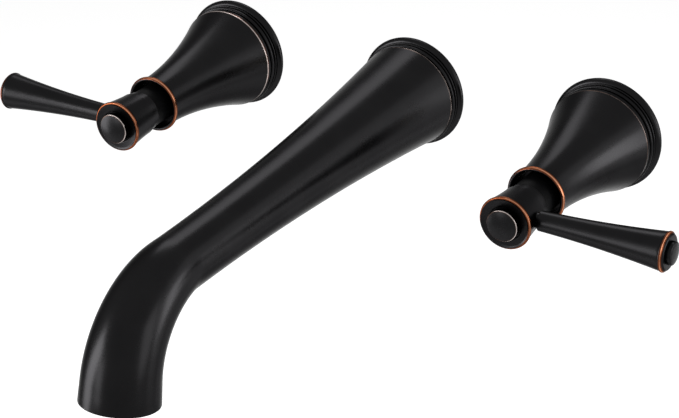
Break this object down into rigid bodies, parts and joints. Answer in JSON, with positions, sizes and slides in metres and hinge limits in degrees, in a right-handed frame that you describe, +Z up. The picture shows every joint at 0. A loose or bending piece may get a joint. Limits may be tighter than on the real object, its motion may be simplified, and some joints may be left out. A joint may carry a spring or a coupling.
{
  "type": "wall mounted bath faucet",
  "caption": "Wall mounted bath faucet with a long swept spout between lever handles on bell escutcheons, in oiled bronze with copper edges.",
  "frame": {"origin": "on the finished wall surface, at the centre of the spout's wall flange", "axes": "+X to the cold side (the right, seen from the room), +Y into the wall, +Z up"},
  "size_m": [0.3502, 0.2753, 0.0736],
  "materials": {
    "oiled_bronze": "satin dark bronze lacquer, worn to copper on the raised edges",
    "bare_brass": "machined brass",
    "steel": "machined stainless steel",
    "black_nylon": "moulded black nylon",
    "black_rubber": "moulded black rubber",
    "foam_rubber": "closed-cell foam",
    "ceramic": "lapped alumina ceramic, off-white"
  },
  "bodies": {
    "root": {"spout_tube": "oiled_bronze", "spout_flange": "oiled_bronze", "spout_gasket": "foam_rubber", "spout_nipple": "bare_brass", "spout_adapter": "bare_brass", "spout_adapter_o_rings": "black_rubber", "spout_set_screw": "steel", "aerator_housing": "oiled_bronze", "aerator_straightener": "black_nylon", "aerator_screen": "steel", "aerator_washer": "black_rubber", "hot_bell": "oiled_bronze", "hot_flange": "oiled_bronze", "hot_gasket": "foam_rubber", "hot_mounting_sleeve": "oiled_bronze", "hot_guide_bush": "black_nylon", "hot_valve_body": "bare_brass", "hot_cartridge_body": "bare_brass", "hot_body_o_ring": "black_rubber", "hot_seat_seal": "black_rubber", "hot_fixed_disc": "ceramic", "cold_bell": "oiled_bronze", "cold_flange": "oiled_bronze", "cold_gasket": "foam_rubber", "cold_mounting_sleeve": "oiled_bronze", "cold_guide_bush": "black_nylon", "cold_valve_body": "bare_brass", "cold_cartridge_body": "bare_brass", "cold_body_o_ring": "black_rubber", "cold_seat_seal": "black_rubber", "cold_fixed_disc": "ceramic"},
    "hot_handle": {"hot_turning_disc": "ceramic", "hot_spindle": "steel", "hot_spindle_o_ring": "black_rubber", "hot_stem_extension": "bare_brass", "hot_glide_bush": "black_nylon", "hot_hub": "oiled_bronze", "hot_handle_screw": "steel", "hot_index_button": "oiled_bronze", "hot_lever": "oiled_bronze", "hot_lever_button": "oiled_bronze"},
    "cold_handle": {"cold_turning_disc": "ceramic", "cold_spindle": "steel", "cold_spindle_o_ring": "black_rubber", "cold_stem_extension": "bare_brass", "cold_glide_bush": "black_nylon", "cold_hub": "oiled_bronze", "cold_handle_screw": "steel", "cold_index_button": "oiled_bronze", "cold_lever": "oiled_bronze", "cold_lever_button": "oiled_bronze"}
  },
  "joints": [
    {"name": "hot_handle_turn", "type": "hinge", "parent": "root", "child": "hot_handle", "pos_m": [-0.1016, 0, 0], "axis": [0, -1, 0], "range_deg": [0, 90]},
    {"name": "cold_handle_turn", "type": "hinge", "parent": "root", "child": "cold_handle", "pos_m": [0.1016, 0, 0], "axis": [0, 1, 0], "range_deg": [0, 90]}
  ]
}
